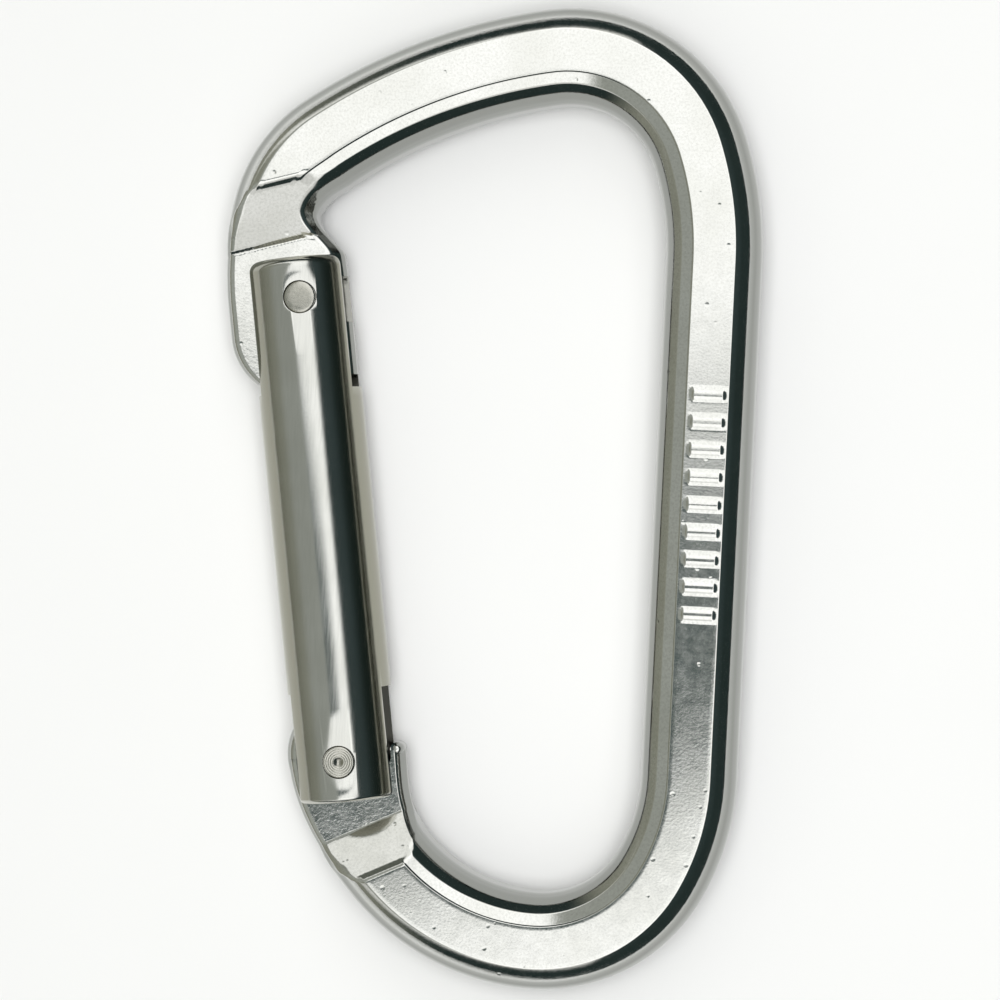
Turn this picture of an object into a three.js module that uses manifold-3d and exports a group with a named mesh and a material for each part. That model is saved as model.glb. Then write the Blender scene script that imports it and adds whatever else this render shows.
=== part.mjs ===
// A forged, straight-gate carabiner: a bent bar with a hooked nose and a hinge tang, closed by a
// slotted round-bar gate on two rivets, with a return spring and its plunger inside the gate.
// Millimetres, lying flat: +Z through the thickness, +Y along the spine, gate on -X.
import * as THREE from 'three';
import { mergeVertices } from 'three/addons/utils/BufferGeometryUtils.js';
import Module from 'manifold-3d';

const wasm = await Module();
wasm.setup();

// ---- Driving dimensions ----
// The bar's middle line is a straight spine and a run of bends at each end, [radius, degrees].
const SPINE_UP = 26.4;
const SPINE_DOWN = 28.4;
const TOP_BENDS = [[34.6, 19.8], [14.6, 80], [58, 25.3], [12.7, 43.5], [28.6, 19.8]];
const BOTTOM_BENDS = [[22.9, 27.8], [14.6, 63], [22, 80.8]];
const BAR_WIDTH = 10.3;
const BAR_THICKNESS = 11.4;
const OUTER_ROUND = 2.45;
const INNER_ROUND = 1.75;
const INNER_BEVEL = 1.25;
const INNER_ROUND_TURN = 81;
const BEVEL_DROP = 0.45;
const SIDE_FLAT = 4.2;

const WEB_THICKNESS = 4.6;
const BOSS_RADIUS = 6.2;
const PIN_FROM_BAR_END = 0.58;
const LIP_REACH = 6.6;
const BOSS_FLARE = 13;
const NOSE_HOLLOW = 1.2;
const NOSE_HOLLOW_RUN = 8;
const NOSE_FLARE = 5;
const FLARE_BEFORE_RAMP = 2.5;
const WEB_PROUD = 0.4;
const TOE_ROUND = 7;
const TOE_GAP = 1.3;
const TOE_PAST_SLOT = 0.5;
const NOSE_RAMP = 6.8;
const NOSE_RAMP_FROM_GATE = 1.9;
const NOSE_RAMP_TURN = 7.4;
const HINGE_RAMP = 5.4;
const HINGE_RAMP_FROM_PIN = 7.82;
const HINGE_RAMP_TURN = 17.8;

const GATE_DIAMETER = 11.2;
const GATE_PAST_LATCH = 4.45;
const GATE_PAST_HINGE = 4.32;
const GATE_TOP_ROUND = 1.2;
const GATE_FOOT_ROUND = 0.5;
const LATCH_SLOT_DEPTH = 14.4;
const HINGE_SLOT_DEPTH = 11.8;
const GATE_FROM_NOSE = 2.8;
const LATCH_OFFSET = 0.65;
const NOTCH_SPREAD = 0.2;

const PIN_DIAMETER = 3.44;
const DIMPLE_RADIUS = 0.55;
const DIMPLE_DEPTH = 0.3;
const PIN_EDGE = 0.2;
const PIN_BELOW_ROUND = 0.05;
const GATE_HOLE_GAP = 0.2;
const RUNNING_GAP = 0.3;

const BORE_DIAMETER = 4.9;
const BORE_DEPTH = 18;
const SPRING_WIRE = 0.7;
const SPRING_TURNS = 9;
const PLUNGER_HEAD = 1.4;
const HEAD_ABOVE_SLOT = 1.3;
const PLUNGER_STEM = 0.9;
const STEM_BEND = [0.25, 0.4];
const STEM_ROOM = 1.1;
const PLUNGER_TIP_RADIUS = 0.5;
const TIP_ACROSS = 3.8;
const TIP_RISE = 1.08;
const SEAT_RADIUS = 1;
const SEAT_LEAD = 0.3;
const LIP_BELOW_TIP = 0.45;
const LIP_RADIUS = 0.7;

const MARK_COUNT = 9;
const MARK_PITCH = 2.9;
const MARK_SIZE = [3.4, 1.1];
const MARK_HEIGHT = 0.2;
const MARK_ROOT = 0.5;
const MARK_START = -11;

// ---- Sizes that follow ----
const halfWidth = BAR_WIDTH / 2;
const halfThickness = BAR_THICKNESS / 2;
const halfWeb = WEB_THICKNESS / 2;
const halfSlot = halfWeb + RUNNING_GAP;
const gateRadius = GATE_DIAMETER / 2;
const cheekHalfWidth = Math.sqrt(gateRadius ** 2 - halfSlot ** 2);
const pinRadius = PIN_DIAMETER / 2;
const holeRadius = pinRadius + RUNNING_GAP;
const boreRadius = BORE_DIAMETER / 2;
const lipX = LIP_REACH - LIP_RADIUS;
const lipY = TIP_RISE - LIP_BELOW_TIP;
const CLEAR = 4;

const radians = THREE.MathUtils.degToRad;

// ---- Helpers ----
function toManifold(geometry) {
  const bare = geometry.clone();
  bare.deleteAttribute('normal');
  bare.deleteAttribute('uv');
  const welded = mergeVertices(bare.index ? bare.toNonIndexed() : bare, 1e-4);
  return new wasm.Manifold(new wasm.Mesh({
    numProp: 3,
    vertProperties: new Float32Array(welded.attributes.position.array),
    triVerts: new Uint32Array(welded.index.array),
  }));
}

function toGeometry(solid) {
  const mesh = solid.getMesh();
  const geometry = new THREE.BufferGeometry();
  geometry.setAttribute('position', new THREE.BufferAttribute(mesh.vertProperties, 3));
  geometry.setIndex(new THREE.BufferAttribute(mesh.triVerts, 1));
  geometry.computeVertexNormals();
  return geometry;
}

// A flat outline made into a plate from z = low to z = high.
function plate(shape, low, high, curveSegments = 24) {
  const depth = high - low;
  const geometry = new THREE.ExtrudeGeometry(shape, { depth, bevelEnabled: false, curveSegments });
  return geometry.translate(0, 0, low);
}

function rectangle(x0, y0, x1, y1) {
  const shape = new THREE.Shape();
  shape.moveTo(x0, y0);
  shape.lineTo(x1, y0);
  shape.lineTo(x1, y1);
  shape.lineTo(x0, y1);
  return shape;
}

function disc(x, y, radius) {
  return new THREE.Shape().absarc(x, y, radius, 0, 2 * Math.PI);
}

// ---- The bar's middle line ----
// Walks up from the spine's datum, turning left at each bend; every stop has a place and heading.
function walk(straight, bends) {
  const stops = [{ x: 0, y: straight, heading: Math.PI / 2 }];
  for (const [radius, degrees] of bends) {
    const from = stops.at(-1);
    const cx = from.x - radius * Math.sin(from.heading);
    const cy = from.y + radius * Math.cos(from.heading);
    const steps = Math.ceil(degrees / 5);
    for (let i = 1; i <= steps; i += 1) {
      const heading = from.heading + radians(degrees) * i / steps;
      stops.push({ x: cx + radius * Math.sin(heading), y: cy - radius * Math.cos(heading), heading });
    }
  }
  return stops;
}

const upper = walk(SPINE_UP, TOP_BENDS);
const lower = walk(SPINE_DOWN, BOTTOM_BENDS)
  .map(({ x, y, heading }) => ({ x, y: -y, heading: Math.PI - heading }))
  .reverse();
const barEnd = lower[0];
const noseEnd = upper.at(-1);
const hinge = {
  x: barEnd.x + PIN_FROM_BAR_END * Math.cos(barEnd.heading),
  y: barEnd.y + PIN_FROM_BAR_END * Math.sin(barEnd.heading),
};

// ---- The gate's line ----
// It runs from the hinge pin to a point a set distance inside the nose's middle line.
const latchPoint = {
  x: noseEnd.x - GATE_FROM_NOSE * Math.sin(noseEnd.heading),
  y: noseEnd.y + GATE_FROM_NOSE * Math.cos(noseEnd.heading),
};
const latchReach = Math.hypot(latchPoint.x - hinge.x, latchPoint.y - hinge.y);
const gateLean = Math.atan2(hinge.x - latchPoint.x, latchPoint.y - hinge.y);
const gateTop = latchReach + GATE_PAST_LATCH;
const slotEnd = gateTop - LATCH_SLOT_DEPTH;
const hingeSlotEnd = HINGE_SLOT_DEPTH - GATE_PAST_HINGE;
const toeLength = latchReach - slotEnd + TOE_PAST_SLOT;

// Local gate coordinates: origin on the hinge pin, X across the gate inwards, Y up the gate.
function fromGate(geometry) {
  return geometry.clone().rotateZ(gateLean).translate(hinge.x, hinge.y, 0);
}

function acrossGate({ x, y }) {
  return (x - hinge.x) * Math.cos(gateLean) + (y - hinge.y) * Math.sin(gateLean);
}

// ---- Body ----
// One cross-section of the bar, outer side first: land, outer round, side, inner round and bevel.
function barSection(outer, inner) {
  const half = [];
  const sideTop = SIDE_FLAT / 2;
  const steps = 5;
  for (let i = 0; i <= steps; i += 1) {
    const a = (Math.PI / 2) * i / steps;
    half.push([
      outer - OUTER_ROUND * (1 - Math.cos(a)),
      sideTop + (halfThickness - sideTop) * Math.sin(a),
    ]);
  }
  half.push([-inner + INNER_ROUND + INNER_BEVEL, halfThickness]);
  const bevelZ = halfThickness - BEVEL_DROP;
  const turn = radians(INNER_ROUND_TURN);
  for (let i = steps; i >= 0; i -= 1) {
    const a = turn * i / steps;
    half.push([
      -inner + INNER_ROUND * (1 - Math.cos(a)) / (1 - Math.cos(turn)),
      sideTop + (bevelZ - sideTop) * Math.sin(a) / Math.sin(turn),
    ]);
  }
  return [...half, ...half.toReversed().map(([across, z]) => [across, -z])];
}

// Skins a run of equal-count rings into one closed solid.
function skin(rings) {
  const count = rings[0].length;
  const index = [];
  for (let r = 0; r < rings.length - 1; r += 1) {
    for (let i = 0; i < count; i += 1) {
      const j = (i + 1) % count;
      const a = r * count;
      const b = a + count;
      index.push(a + i, b + i, b + j, a + i, b + j, a + j);
    }
  }
  const last = (rings.length - 1) * count;
  for (let i = 1; i < count - 1; i += 1) {
    index.push(0, i, i + 1, last, last + i + 1, last + i);
  }
  const geometry = new THREE.BufferGeometry();
  geometry.setAttribute('position', new THREE.Float32BufferAttribute(rings.flat(2), 3));
  geometry.setIndex(index);
  return geometry;
}

function smoothStep(t) {
  return THREE.MathUtils.smoothstep(t, 0, 1);
}

// The bar's stops from the tang's end to the nose's toe, each with its run along the middle line.
function bodyStops() {
  const stops = [...lower, ...upper];
  const toeSteps = 8;
  for (let i = 1; i <= toeSteps; i += 1) {
    stops.push({
      x: noseEnd.x + toeLength * (i / toeSteps) * Math.cos(noseEnd.heading),
      y: noseEnd.y + toeLength * (i / toeSteps) * Math.sin(noseEnd.heading),
      heading: noseEnd.heading,
    });
  }
  let run = 0;
  stops.forEach((stop, i) => {
    const before = stops[Math.max(i - 1, 0)];
    run += Math.hypot(stop.x - before.x, stop.y - before.y);
    stop.run = run;
  });
  return stops;
}

function sweepBar() {
  const stops = bodyStops();
  const total = stops.at(-1).run;
  const rampFoot = total - toeLength - GATE_PAST_LATCH - 2 * NOSE_RAMP_FROM_GATE;
  const flareStart = rampFoot - FLARE_BEFORE_RAMP;
  const rings = stops.map(({ x, y, heading, run }) => {
    const tang = 1 - smoothStep(run / BOSS_FLARE);
    const hollow = NOSE_HOLLOW * smoothStep((run - flareStart) / NOSE_HOLLOW_RUN + 1);
    const flared = smoothStep((run - flareStart) / NOSE_FLARE);
    const neck = halfWidth + tang * (LIP_REACH - halfWidth) - hollow;
    const web = cheekHalfWidth + WEB_PROUD - acrossGate({ x, y });
    const inner = THREE.MathUtils.lerp(neck, web, flared);
    const past = Math.max(0, run - (total - TOE_ROUND));
    const toe = TOE_ROUND - Math.sqrt(Math.max(0, TOE_ROUND ** 2 - past ** 2));
    const outer = halfWidth + tang * (BOSS_RADIUS - halfWidth) - toe;
    return barSection(outer, inner).map(([across, z]) => [
      x + across * Math.sin(heading),
      y - across * Math.cos(heading),
      z,
    ]);
  });
  return skin(rings);
}

// Takes both faces of the bar down to web thickness from a line across the gate's axis at `at`,
// leaned by `turn` degrees. The flat runs `flat` along +Y (or -Y) and the ramp the other way.
function faceRelief(at, flat, ramp, turn) {
  const rise = CLEAR + halfThickness - halfWeb;
  const rampEnd = -Math.sign(flat) * ramp * rise / (halfThickness - halfWeb);
  const profile = new THREE.Shape();
  profile.moveTo(0, halfWeb);
  profile.lineTo(flat, halfWeb);
  profile.lineTo(flat, halfWeb + rise);
  profile.lineTo(rampEnd, halfWeb + rise);
  const wide = 3 * GATE_DIAMETER;
  const prism = new THREE.ExtrudeGeometry(profile, { depth: wide, bevelEnabled: false });
  prism.translate(0, 0, -wide / 2);
  // The profile's x becomes +Y, its y becomes +Z and its depth becomes +X.
  prism.applyMatrix4(new THREE.Matrix4().makeBasis(
    new THREE.Vector3(0, 1, 0),
    new THREE.Vector3(0, 0, 1),
    new THREE.Vector3(1, 0, 0),
  ));
  const under = prism.clone().rotateY(Math.PI);
  const [above, below] = [prism, under].map((side) => {
    side.rotateZ(radians(turn)).translate(0, at, 0);
    return toManifold(fromGate(side));
  });
  return above.add(below);
}

// The pocket for the latch pin, open inwards, its lower wall spread to lead the pin in.
function latchNotch() {
  const mouth = cheekHalfWidth + CLEAR;
  const shape = new THREE.Shape();
  shape.moveTo(mouth, holeRadius);
  shape.lineTo(0, holeRadius);
  shape.absarc(0, 0, holeRadius, Math.PI / 2, 1.5 * Math.PI);
  shape.lineTo(mouth, -holeRadius - mouth * NOTCH_SPREAD);
  const notch = plate(shape, -halfThickness, halfThickness);
  return notch.translate(LATCH_OFFSET, latchReach, 0);
}

// The open corner of the tang that the plunger's stem crosses, ending in its seat and lip.
function plungerSeat() {
  const seatX = lipX - LIP_RADIUS - SEAT_RADIUS;
  const seatY = lipY - LIP_RADIUS;
  const shape = new THREE.Shape();
  shape.moveTo(-STEM_ROOM, hingeSlotEnd + 1);
  shape.lineTo(seatX - SEAT_RADIUS, seatY + SEAT_LEAD);
  shape.absarc(seatX, seatY, SEAT_RADIUS, Math.PI, 2 * Math.PI);
  shape.lineTo(lipX - LIP_RADIUS, lipY);
  shape.absarc(lipX, lipY, LIP_RADIUS, Math.PI, 0, true);
  shape.lineTo(lipX + CLEAR, lipY);
  shape.lineTo(lipX + CLEAR, hingeSlotEnd + 1);
  return plate(shape, -halfThickness, halfThickness);
}

// Raised plain bars across the spine's land, all of one size.
function spineMarks() {
  const [wide, tall] = MARK_SIZE;
  const bars = [];
  for (let i = 0; i < MARK_COUNT; i += 1) {
    const y = MARK_START + i * MARK_PITCH;
    const x = (INNER_ROUND + INNER_BEVEL - OUTER_ROUND) / 2;
    const bar = rectangle(x - wide / 2, y - tall / 2, x + wide / 2, y + tall / 2);
    bars.push(toManifold(plate(bar, halfThickness - MARK_ROOT, halfThickness + MARK_HEIGHT)));
  }
  return bars;
}

function buildBody() {
  const bossDisc = disc(0, PIN_FROM_BAR_END, BOSS_RADIUS);
  const boss = toManifold(fromGate(plate(bossDisc, -halfWeb, halfWeb, 36)));
  const lip = toManifold(fromGate(plate(disc(lipX, lipY, LIP_RADIUS), -halfWeb, halfWeb, 12)));
  const toeRadius = Math.hypot(slotEnd, gateRadius) + TOE_GAP;
  const toeSweep = new THREE.Shape();
  toeSweep.moveTo(-gateRadius * 3, slotEnd - CLEAR);
  toeSweep.lineTo(gateRadius * 3, slotEnd - CLEAR);
  const toeEdge = Math.acos(gateRadius * 3 / toeRadius);
  toeSweep.absarc(0, 0, toeRadius, toeEdge, Math.PI - toeEdge);
  const toeCut = toManifold(fromGate(plate(toeSweep, -halfThickness, halfThickness)));
  const pinHole = toManifold(fromGate(plate(disc(0, 0, holeRadius), -halfThickness, halfThickness, 24)));
  let body = toManifold(sweepBar());
  const noseRampAt = gateTop + NOSE_RAMP_FROM_GATE;
  body = body.subtract(faceRelief(noseRampAt, slotEnd - CLEAR - noseRampAt, NOSE_RAMP, NOSE_RAMP_TURN));
  body = body.subtract(faceRelief(-HINGE_RAMP_FROM_PIN, 3 * BOSS_RADIUS, HINGE_RAMP, HINGE_RAMP_TURN));
  body = body.add(boss).add(lip);
  body = body.subtract(toeCut);
  body = body.subtract(toManifold(fromGate(latchNotch())));
  body = body.subtract(toManifold(fromGate(plungerSeat())));
  body = body.subtract(pinHole);
  for (const mark of spineMarks()) body = body.add(mark);
  return toGeometry(body);
}

// ---- Gate ----
// A round bar with rounded ends, slotted at both ends, drilled for the pins and for the spring.
function buildGate() {
  const low = -GATE_PAST_HINGE;
  const profile = new THREE.Path();
  profile.moveTo(0, low);
  profile.lineTo(gateRadius - GATE_FOOT_ROUND, low);
  profile.absarc(gateRadius - GATE_FOOT_ROUND, low + GATE_FOOT_ROUND, GATE_FOOT_ROUND, -Math.PI / 2, 0);
  profile.absarc(gateRadius - GATE_TOP_ROUND, gateTop - GATE_TOP_ROUND, GATE_TOP_ROUND, 0, Math.PI / 2);
  profile.lineTo(0, gateTop);
  const round = new THREE.LatheGeometry(profile.getPoints(5), 64);
  const latchSlot = rectangle(-gateRadius - CLEAR, slotEnd, gateRadius + CLEAR, gateTop + CLEAR);
  const hingeSlot = rectangle(-gateRadius - CLEAR, low - CLEAR, gateRadius + CLEAR, hingeSlotEnd);
  const bore = new THREE.CylinderGeometry(boreRadius, boreRadius, BORE_DEPTH + CLEAR, 32);
  bore.translate(0, hingeSlotEnd + BORE_DEPTH / 2 - CLEAR / 2, 0);
  let gate = toManifold(round);
  gate = gate.subtract(toManifold(plate(latchSlot, -halfSlot, halfSlot)));
  gate = gate.subtract(toManifold(plate(hingeSlot, -halfSlot, halfSlot)));
  gate = gate.subtract(toManifold(bore));
  for (const [x, y] of [[0, 0], [LATCH_OFFSET, latchReach]]) {
    const drill = disc(x, y, pinRadius + GATE_HOLE_GAP);
    const hole = plate(drill, -gateRadius - CLEAR, gateRadius + CLEAR, 24);
    gate = gate.subtract(toManifold(hole));
  }
  return toGeometry(gate);
}

// ---- Pins ----
// A rivet through the gate, flush with its round; `dimple` sinks a centre mark in both ends.
function buildPin(offset, dimple) {
  const half = Math.sqrt(gateRadius ** 2 - offset ** 2) - PIN_BELOW_ROUND;
  const profile = [new THREE.Vector2(0, -half + dimple)];
  if (dimple > 0) profile.push(new THREE.Vector2(DIMPLE_RADIUS, -half));
  profile.push(new THREE.Vector2(pinRadius - PIN_EDGE, -half));
  profile.push(new THREE.Vector2(pinRadius, -half + PIN_EDGE));
  const mirrored = profile.toReversed().map((p) => new THREE.Vector2(p.x, -p.y));
  const lathe = new THREE.LatheGeometry([...profile, ...mirrored], 32);
  return lathe.rotateX(Math.PI / 2);
}

// ---- Spring and plunger ----
class Helix extends THREE.Curve {
  constructor(radius, low, high, turns) {
    super();
    Object.assign(this, { radius, low, high, turns });
  }

  getPoint(t, target = new THREE.Vector3()) {
    const a = 2 * Math.PI * this.turns * t;
    const y = THREE.MathUtils.lerp(this.low, this.high, t);
    return target.set(this.radius * Math.cos(a), y, this.radius * Math.sin(a));
  }
}

const headLow = hingeSlotEnd + HEAD_ABOVE_SLOT;
const headHigh = headLow + PLUNGER_HEAD;

function buildSpring() {
  const wire = SPRING_WIRE / 2;
  const low = headHigh + wire + RUNNING_GAP;
  const high = hingeSlotEnd + BORE_DEPTH - wire - RUNNING_GAP;
  const helix = new Helix(boreRadius - wire - RUNNING_GAP, low, high, SPRING_TURNS);
  const section = new THREE.Shape(new THREE.Path().absarc(0, 0, wire, 0, 2 * Math.PI).getPoints(4));
  return new THREE.ExtrudeGeometry(section, { steps: SPRING_TURNS * 18, extrudePath: helix });
}

// A flat head that fills the bore and a stem that leans across the slot to the tang's seat.
function buildPlunger() {
  const headRadius = boreRadius - RUNNING_GAP;
  const head = new THREE.CylinderGeometry(headRadius, headRadius, PLUNGER_HEAD, 32);
  head.translate(0, headLow + PLUNGER_HEAD / 2, 0);
  const stemRadius = PLUNGER_STEM / 2;
  const path = new THREE.CatmullRomCurve3([
    new THREE.Vector3(0, headLow + PLUNGER_HEAD / 2, 0),
    new THREE.Vector3(STEM_BEND[0], hingeSlotEnd + STEM_BEND[1], 0),
    new THREE.Vector3(TIP_ACROSS, TIP_RISE, 0),
  ], false, 'catmullrom', 0.2);
  const round = new THREE.Shape(new THREE.Path().absarc(0, 0, stemRadius, 0, 2 * Math.PI).getPoints(8));
  const stem = new THREE.ExtrudeGeometry(round, { steps: 20, extrudePath: path });
  const tip = new THREE.SphereGeometry(PLUNGER_TIP_RADIUS, 20, 14);
  tip.translate(TIP_ACROSS, TIP_RISE, 0);
  return toGeometry(toManifold(head).add(toManifold(stem)).add(toManifold(tip)));
}

// ---- Assembly ----
function metal(color, roughness, metalness) {
  return new THREE.MeshStandardMaterial({ color, roughness, metalness });
}

const forged = metal(0xb9bbbc, 0.38, 0.9);
const turned = metal(0xaeb1b2, 0.42, 0.9);
const rivet = metal(0xa8a49c, 0.35, 0.9);
const wire = metal(0x9c9fa0, 0.3, 1);
const pusher = metal(0x9a958c, 0.4, 0.9);

function piece(name, geometry, material) {
  const mesh = new THREE.Mesh(geometry, material);
  mesh.name = name;
  return mesh;
}

const part = new THREE.Group();
part.name = 'carabiner';
part.add(piece('body', buildBody(), forged));

const gateGroup = new THREE.Group();
gateGroup.name = 'gate_group';
gateGroup.position.set(hinge.x, hinge.y, 0);
gateGroup.rotation.z = gateLean;
gateGroup.add(piece('gate', buildGate(), turned));
const hingePin = piece('hinge_pin', buildPin(0, DIMPLE_DEPTH), rivet);
const latchPin = piece('latch_pin', buildPin(LATCH_OFFSET, 0), rivet);
latchPin.position.set(LATCH_OFFSET, latchReach, 0);
gateGroup.add(hingePin, latchPin);
gateGroup.add(piece('gate_spring', buildSpring(), wire));
gateGroup.add(piece('plunger', buildPlunger(), pusher));
part.add(gateGroup);

// The origin is the middle of the underside of the part's box.
const box = new THREE.Box3().setFromObject(part);
const middle = box.getCenter(new THREE.Vector3());
part.position.set(-middle.x, -middle.y, -box.min.z);
part.updateMatrixWorld(true);

export default part;
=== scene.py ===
"""A forged straight-gate carabiner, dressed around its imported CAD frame.

Sizes are millimetres and turns are degrees, in the plane of the hoop: the spine's middle line is
x = 0, its datum is y = 0 and the mid-plane is z = 0. Each finished mesh is moved into the frame,
in metres.
"""

import math

import bmesh
import bpy
import numpy as np
from mathutils import Matrix, Vector


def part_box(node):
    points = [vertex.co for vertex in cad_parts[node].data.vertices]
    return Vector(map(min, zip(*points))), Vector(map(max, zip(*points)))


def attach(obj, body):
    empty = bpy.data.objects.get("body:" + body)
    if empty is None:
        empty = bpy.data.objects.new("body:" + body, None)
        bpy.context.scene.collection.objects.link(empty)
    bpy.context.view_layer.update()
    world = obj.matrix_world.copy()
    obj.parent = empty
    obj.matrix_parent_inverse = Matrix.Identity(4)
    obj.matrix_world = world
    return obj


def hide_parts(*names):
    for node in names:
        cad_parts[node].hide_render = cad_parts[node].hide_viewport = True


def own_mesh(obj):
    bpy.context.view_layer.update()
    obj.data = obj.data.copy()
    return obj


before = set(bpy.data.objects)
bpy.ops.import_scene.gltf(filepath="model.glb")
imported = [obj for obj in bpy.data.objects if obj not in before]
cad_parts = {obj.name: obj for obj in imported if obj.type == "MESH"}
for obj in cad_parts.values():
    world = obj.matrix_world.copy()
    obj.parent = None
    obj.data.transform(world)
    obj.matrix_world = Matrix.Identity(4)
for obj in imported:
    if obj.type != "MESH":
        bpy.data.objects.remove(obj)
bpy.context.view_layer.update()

MM = 0.001

# ---- The frame's sizes ----
# The middle line: the spine's length each way from the datum, then each bend's radius and turn
SPINE_UP = 26.4
SPINE_DOWN = 28.4
TOP_BENDS = [(34.6, 19.8), (14.6, 80), (58, 25.3), (12.7, 43.5), (28.6, 19.8)]
BOTTOM_BENDS = [(22.9, 27.8), (14.6, 63), (22, 80.8)]
# The bar, the thin web at both its ends, and the tang round the hinge pin
BAR_WIDTH = 10.3
HALF_THICKNESS = 5.7
HALF_WEB = 2.3
BOSS_RADIUS = 6.2
PIN_FROM_BAR_END = 0.58
LIP_REACH = 6.6
BOSS_FLARE = 13
# The nose: hollowed inside before it flares to the gate's width, then the toe behind the gate
NOSE_HOLLOW = 1.2
NOSE_HOLLOW_RUN = 8
NOSE_FLARE = 5
FLARE_BEFORE_RAMP = 2.5
WEB_PROUD = 0.4
TOE_ROUND = 7
TOE_GAP = 1.3
TOE_PAST_SLOT = 0.5
# The ramps from the bar's face down to the webs: length, place and lean across the gate
NOSE_RAMP = 6.8
NOSE_RAMP_FROM_GATE = 1.9
NOSE_RAMP_TURN = 7.4
HINGE_RAMP = 5.4
HINGE_RAMP_FROM_PIN = 7.82
HINGE_RAMP_TURN = 17.8
# The gate, its two slots and its pins
GATE_RADIUS = 5.6
GATE_PAST_LATCH = 4.45
GATE_PAST_HINGE = 4.32
GATE_FROM_NOSE = 2.8
LATCH_OFFSET = 0.65
LATCH_SLOT_DEPTH = 14.4
HINGE_SLOT_DEPTH = 11.8
HALF_SLOT = 2.6
PIN_RADIUS = 1.72
RUNNING_GAP = 0.3
# The tang's seat for the plunger, the plunger's tip in it, and the bore that holds its spring
LIP_RADIUS = 0.7
SEAT_RADIUS = 1
SEAT_LEAD = 0.3
LIP_BELOW_TIP = 0.45
TIP_ACROSS = 3.8
TIP_RISE = 1.08
STEM_ROOM = 1.1
HEAD_ABOVE_SLOT = 1.3
BORE_RADIUS = 2.45
BORE_DEPTH = 18
# The raised bars on the spine, with sloping sides that lie partly outside the bar's size
MARK_COUNT = 9
MARK_PITCH = 2.9
MARK_SIZE = (3.4, 1.1)
MARK_HEIGHT = 0.2
MARK_START = -11
MARK_MIDDLE = 0.275
MARK_SLOPE = 0.3
MARK_SLOPE_OUTSIDE = 0.4

# How far a cutter reaches past what it cuts, and half the height of the body's and gate's cutters
PAST = 4
BODY_CUT = 7
GATE_CUT = 9

# ---- Sizes that follow ----
half_width = BAR_WIDTH / 2
cheek_half_width = math.sqrt(GATE_RADIUS ** 2 - HALF_SLOT ** 2)
hole_radius = PIN_RADIUS + RUNNING_GAP
lip_x = LIP_REACH - LIP_RADIUS
lip_y = TIP_RISE - LIP_BELOW_TIP


def smooth_step(t):
    """Rises smoothly from 0 at t = 0 to 1 at t = 1."""
    t = np.clip(t, 0, 1)
    return t * t * (3 - 2 * t)


def soft_min(a, b):
    """The lower of two heights, blended over a short distance where they meet."""
    width = 0.05
    return -width * np.logaddexp(-a / width, -b / width)


# ---- The bar's middle line ----
def middle_line():
    """The line's stretches from hinge pin to nose, each (length, curvature, place, heading)."""
    bends = [(math.radians(turn) * radius, 1 / radius) for radius, turn in reversed(BOTTOM_BENDS)]
    bends.append((SPINE_DOWN + SPINE_UP, 0))
    bends += [(math.radians(turn) * radius, 1 / radius) for radius, turn in TOP_BENDS]
    heading = math.pi / 2 - math.radians(sum(turn for _, turn in BOTTOM_BENDS))
    place = np.zeros(2)
    stretches = []
    for length, curvature in bends:
        stretches.append((length, curvature, place.copy(), heading))
        place, heading = along(stretches[-1], length)
    lower = stretches[len(BOTTOM_BENDS)]
    datum = along(lower, SPINE_DOWN)[0]
    return [(length, curvature, start - datum, turn) for length, curvature, start, turn in stretches]


def along(stretch, run):
    """Place and heading at a distance into one stretch."""
    _, curvature, start, heading = stretch
    if curvature == 0:
        return start + run * np.array([math.cos(heading), math.sin(heading)]), heading
    end = heading + run * curvature
    step = [math.sin(end) - math.sin(heading), math.cos(heading) - math.cos(end)]
    return start + np.array(step) / curvature, end


line = middle_line()
bar_end, bar_heading = along(line[0], 0)
hinge = bar_end + PIN_FROM_BAR_END * np.array([math.cos(bar_heading), math.sin(bar_heading)])
nose, nose_heading = along(line[-1], line[-1][0])
latch = nose + GATE_FROM_NOSE * np.array([-math.sin(nose_heading), math.cos(nose_heading)])
latch_reach = float(np.hypot(*(latch - hinge)))
gate_lean = math.atan2(hinge[0] - latch[0], latch[1] - hinge[1])
gate_top = latch_reach + GATE_PAST_LATCH
slot_end = gate_top - LATCH_SLOT_DEPTH
hinge_slot_end = HINGE_SLOT_DEPTH - GATE_PAST_HINGE
toe_length = latch_reach - slot_end + TOE_PAST_SLOT
line.append((toe_length, 0, nose, nose_heading))
total_run = sum(stretch[0] for stretch in line)
head_low = hinge_slot_end + HEAD_ABOVE_SLOT

# The datum's place in the frame, found from the hinge pin's to a ten-thousandth of a millimetre
pin_low, pin_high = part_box("hinge_pin")
pin_place = [(low + high) / 2 / MM for low, high in zip(pin_low, pin_high)]
datum = (round(pin_place[0] - hinge[0], 4), round(pin_place[1] - hinge[1], 4), HALF_THICKNESS)


def at_run(run):
    """Place and heading at a distance along the middle line."""
    for stretch in line:
        if run <= stretch[0]:
            return along(stretch, max(run, 0))
        run -= stretch[0]
    return along(line[-1], line[-1][0])


def to_gate(x, y):
    """Plane coordinates into the gate's own: x inwards across it, y up it, from the hinge pin."""
    dx, dy = x - hinge[0], y - hinge[1]
    c, s = math.cos(gate_lean), math.sin(gate_lean)
    return dx * c + dy * s, dy * c - dx * s


# ---- Mesh helpers ----
WELD = 0.002
BEVEL_ANGLE = 40
STEEP_BLEND = 0.18
SHARPEST_BEND = 2.5
SMALLEST_FACE_GAP = 0.05


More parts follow.
